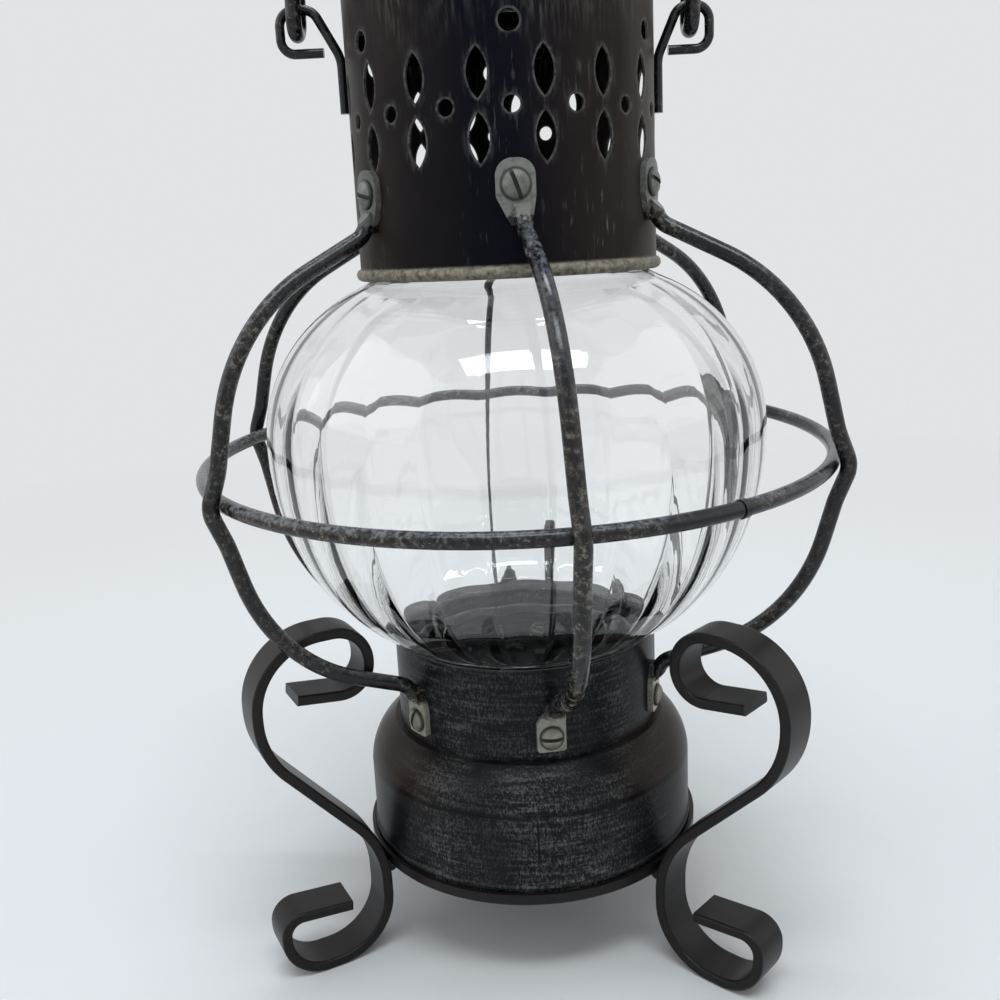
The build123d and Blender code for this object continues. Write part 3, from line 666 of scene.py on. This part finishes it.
class LANTERN_OT_paint_metal(bpy.types.Operator):
    """Give every metal solid its worn finish"""

    bl_idname = "lantern.paint_metal"
    bl_label = "Paint the metal"

    def execute(self, context):
        finish = context.scene.lantern_finish
        self.paint_sheet(finish)
        self.paint_wires(finish)
        self.plate_fittings(finish)
        return {"FINISHED"}

    def paint_sheet(self, finish):
        """Chimney, cap, collar, base and stand."""
        coat(["chimney"], chimney_paint(finish))
        coat(["chimney_cap", "cap_knob"], worn_wire(finish, "Cap paint", wear=0.35))
        coat(["collar", "base_shell", "base_floor"], body_paint(finish))
        coat(STAND_NODES, satin_coat(finish))

    def paint_wires(self, finish):
        """Cage and bail; the front rib and the ring are worn most."""
        front = worn_wire(finish, "Front rib paint", wear=1.0, head=1.0, foot=0.95, fine=520.0, along=0.35)
        coat(RIB_NODES[:1], front)
        coat(RIB_NODES[1:], worn_wire(finish, "Rib paint", wear=0.6, head=0.45, foot=0.9))
        coat(["cage_ring"], worn_wire(finish, "Ring paint", wear=1.0, side=0.18))
        coat(["bail", "bail_ear_left", "bail_ear_right"], worn_wire(finish, "Bail paint", wear=0.4))

    def plate_fittings(self, finish):
        """Screws, nuts and the pieces inside."""
        dull = dull_metal(finish.bare_metal, "Dull zinc", 0.5, 0.3, screws="upper_screws")
        coat(["upper_screws", "upper_nuts"], dull)
        pale = dull_metal(finish.pale_metal, "Pale zinc", 0.5, 0.3, screws="lower_screws")
        coat(["lower_screws", "lower_nuts"], pale)
        tinplate = dull_metal(finish.tinplate, "Tinplate", 0.4, 0.6)
        coat(["globe_seat", "candle_pan", "candle_socket"], tinplate)


def globe_profile(low, high, belly_radius, inset):
    """Radius and height of points up one skin of the glass, neck to crown."""
    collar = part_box("collar")[1]
    collar_radius = collar.x
    collar_top = collar.z
    chimney_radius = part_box("chimney_cap")[1].x - CAP_REACH
    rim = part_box("chimney")[0].z
    belly_z = collar_top + BELLY_SHARE * (rim - collar_top)
    below = belly_z - collar_top
    above = rim - belly_z
    neck = collar_radius - GLASS_SEAT - inset
    crown = chimney_radius - GLASS_SEAT - inset
    belly = belly_radius - inset
    inwards, upwards = (share * inset for share in SLOPE)
    start = Vector((collar_radius + NECK_BEND[0] - inwards, collar_top + NECK_BEND[1] + upwards))
    pull_low = Vector((LOW_PULL[0] * belly_radius - inwards, collar_top + LOW_PULL[1] * below + upwards))
    side_low = Vector((belly, collar_top + LOW_SIDE * below))
    middle = Vector((belly, belly_z))
    side_high = Vector((belly, belly_z + HIGH_SIDE * above))
    pull_high = Vector((HIGH_PULL[0] * belly_radius - inwards, belly_z + HIGH_PULL[1] * above - upwards))
    end = Vector((chimney_radius + CROWN_BEND[0] - inwards, rim - CROWN_BEND[1] - upwards))
    points = [Vector((neck, low)), Vector((neck, collar_top - NECK_TOP))]
    for curve in ((start, pull_low, side_low, middle), (middle, side_high, pull_high, end)):
        for step in range(PROFILE_STEPS):
            points.append(bezier_point(curve, step / PROFILE_STEPS))
    points += [end, Vector((crown, rim - CROWN_FOOT)), Vector((crown, high))]
    return points


def bezier_point(curve, t):
    """Point on a cubic curve given by four corners."""
    first, second, third, fourth = curve
    rest = 1.0 - t
    return rest**3 * first + 3 * rest**2 * t * second + 3 * rest * t**2 * third + t**3 * fourth


def flute_fade(place, last):
    """Share of a flute's depth at one row of points, with more low down and less at both necks."""
    from_neck = 10.0 * (place - 1) / last
    to_shoulder = max(0.2, 2.6 - 3.2 * place / last)
    to_crown = (last - place + 1) / 4
    low_down = 1.0 + 1.3 * max(0.0, 1.0 - 2.2 * place / last)
    return min(1.0, from_neck, to_shoulder, to_crown) * low_down


class LANTERN_OT_blow_globe(bpy.types.Operator):
    """Spin the globe's wall and press its optic flutes"""

    bl_idname = "lantern.blow_globe"
    bl_label = "Blow the globe"

    def execute(self, context):
        glass = context.scene.lantern_glass
        low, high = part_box("globe")
        outer = globe_profile(low.z, high.z, high.x, 0.0)
        inner = globe_profile(low.z, high.z, high.x, glass.wall)
        piece = self.spin_wall(outer + inner[::-1], glass.flutes * FLUTE_STEPS)
        self.press_flutes(piece, glass.flutes, inner, glass.flute_depth)
        self.press_flutes(piece, glass.flutes, outer, glass.ripple)
        bpy.ops.object.mode_set(mode="OBJECT")
        bpy.ops.object.shade_smooth()
        piece.data.materials.append(clear_glass())
        hand_over(piece, "lantern", "glass", "globe")
        return {"FINISHED"}

    def spin_wall(self, outline, steps):
        """A closed outline spun into a wall, left in edit mode."""
        deselect()
        bpy.ops.mesh.primitive_plane_add(size=1.0, location=(0.0, 0.0, 0.0))
        piece = take_new("globe_glass")
        bpy.ops.object.mode_set(mode="EDIT")
        bpy.ops.mesh.select_all(action="SELECT")
        bpy.ops.mesh.delete(type="VERT")
        mesh = bmesh.from_edit_mesh(piece.data)
        ring = [mesh.verts.new((point.x, 0.0, point.y)) for point in outline]
        for first, second in zip(ring, ring[1:] + ring[:1]):
            mesh.edges.new((first, second))
        bmesh.update_edit_mesh(piece.data)
        bpy.ops.mesh.select_all(action="SELECT")
        bpy.ops.mesh.spin(steps=steps, angle=2 * math.pi, center=(0, 0, 0), axis=(0, 0, 1))
        bpy.ops.mesh.select_all(action="SELECT")
        bpy.ops.mesh.remove_doubles(threshold=SAME_PLACE)
        bpy.ops.mesh.normals_make_consistent(inside=False)
        return piece

    def press_flutes(self, piece, flutes, skin, depth):
        """Push one skin inwards along each flute, row by row."""
        pitch = 2 * math.pi / flutes
        last = len(skin) - 3
        heights = {round(point.y / SAME_PLACE): place for place, point in enumerate(skin)}
        mesh = bmesh.from_edit_mesh(piece.data)
        groups = {}
        for vertex in mesh.verts:
            place = heights.get(round(vertex.co.z / SAME_PLACE))
            if place is None or not 1 < place <= last:
                continue
            if abs(vertex.co.to_2d().length - skin[place].x) > SAME_SKIN:
                continue
            turn = math.atan2(vertex.co.y, vertex.co.x) % pitch
            step = round(FLUTE_STEPS * turn / pitch) % FLUTE_STEPS
            groups.setdefault((place, min(step, FLUTE_STEPS - step)), set()).add(vertex.index)
        for (place, step), members in groups.items():
            share = math.sin(math.pi * step / FLUTE_STEPS)
            factor = 1.0 - depth * flute_fade(place, last) * share / skin[place].x
            mesh = bmesh.from_edit_mesh(piece.data)
            for vertex in mesh.verts:
                vertex.select = vertex.index in members
            bmesh.update_edit_mesh(piece.data, loop_triangles=False, destructive=False)
            bpy.ops.transform.resize(value=(factor, factor, 1.0), center_override=(0.0, 0.0, 0.0))


class LANTERN_OT_set_stage(bpy.types.Operator):
    """Set up the pale floor, the soft light and the camera"""

    bl_idname = "lantern.set_stage"
    bl_label = "Set the stage"

    def execute(self, context):
        self.lay_floor(context)
        self.hang_lights(context)
        self.place_camera(context)
        context.scene.view_settings.view_transform = "Standard"
        return {"FINISHED"}

    def lay_floor(self, context):
        """A floor that bends up into a wall behind the lantern."""
        deselect()
        bpy.ops.mesh.primitive_plane_add(size=1.0, location=(0.0, 0.0, 0.0))
        floor = take_new("floor")
        floor.scale = FLOOR_SIZE
        settle(floor)
        behind = FLOOR_SIZE[1] / 4
        bpy.ops.object.mode_set(mode="EDIT")
        bpy.ops.mesh.select_mode(type="EDGE")
        select_where(floor, lambda co: co.y > behind)
        bpy.ops.mesh.extrude_region_move(TRANSFORM_OT_translate={"value": (0.0, 0.0, WALL_HEIGHT)})
        select_where(floor, lambda co: co.y > behind and co.z < WALL_HEIGHT / 2)
        bpy.ops.mesh.bevel(offset=BEND_RADIUS, segments=BEND_STEPS, profile=0.5)
        bpy.ops.object.mode_set(mode="OBJECT")
        bpy.ops.object.shade_smooth()
        floor.data.materials.append(pale_floor(context.scene.lantern_finish))

    def hang_lights(self, context):
        """Soft room light and four area lamps that face the lantern."""
        context.scene.world = soft_room(context.scene.lantern_finish)
        for name, place, size, power, colour in LAMPS:
            deselect()
            bpy.ops.object.light_add(type="AREA", location=place)
            lamp = take_new(name)
            lamp.data.shape = "RECTANGLE"
            lamp.data.size, lamp.data.size_y = size
            lamp.data.energy = power
            lamp.data.color = colour
            aim = LAMP_AIM - Vector(place)
            lamp.rotation_euler = aim.to_track_quat("-Z", "Y").to_euler()

    def place_camera(self, context):
        """The camera, turned by its swing, its dip and its roll."""
        view = context.scene.lantern_camera
        deselect()
        bpy.ops.object.camera_add()
        camera = take_new("photo_camera")
        dip, swing, roll = view.dip, view.swing, view.roll
        ahead = Vector((math.sin(swing) * math.cos(dip), math.cos(swing) * math.cos(dip), -math.sin(dip)))
        level = Vector((math.cos(swing), -math.sin(swing), 0.0))
        above = level.cross(ahead)
        right = math.cos(roll) * level + math.sin(roll) * above
        upward = math.cos(roll) * above - math.sin(roll) * level
        turn = Matrix((right, upward, -ahead)).transposed().to_4x4()
        camera.matrix_world = Matrix.Translation(view.place) @ turn
        camera.data.lens = view.lens
        camera.data.sensor_width = 36.0
        camera.data.clip_start = 0.01
        context.scene.camera = camera


class LANTERN_PT_panel(bpy.types.Panel):
    """Sizes, colours and steps of the lantern"""

    bl_idname = "LANTERN_PT_panel"
    bl_label = "Lantern"
    bl_space_type = "VIEW_3D"
    bl_region_type = "UI"
    bl_category = "Lantern"

    def draw(self, context):
        for group in GROUPS:
            settings = getattr(context.scene, group)
            box = self.layout.box()
            for prop in settings.bl_rna.properties:
                if prop.identifier not in ("rna_type", "name"):
                    box.prop(settings, prop.identifier)
        for operator in STEPS:
            self.layout.operator(operator.bl_idname)


GROUPS = {
    "lantern_glass": GlassSettings,
    "lantern_finish": FinishSettings,
    "lantern_camera": CameraSettings,
}
STEPS = (
    LANTERN_OT_paint_metal,
    LANTERN_OT_blow_globe,
    LANTERN_OT_set_stage,
)
CLASSES = (*GROUPS.values(), *STEPS, LANTERN_PT_panel)


def register():
    for cls in CLASSES:
        bpy.utils.register_class(cls)
    for name, group in GROUPS.items():
        setattr(bpy.types.Scene, name, bpy.props.PointerProperty(type=group))


def unregister():
    for name in GROUPS:
        delattr(bpy.types.Scene, name)
    for cls in reversed(CLASSES):
        bpy.utils.unregister_class(cls)


def main():
    register()
    bpy.ops.lantern.paint_metal()
    bpy.ops.lantern.blow_globe()
    bpy.ops.lantern.set_stage()
    deselect()


if __name__ == "__main__":
    main()
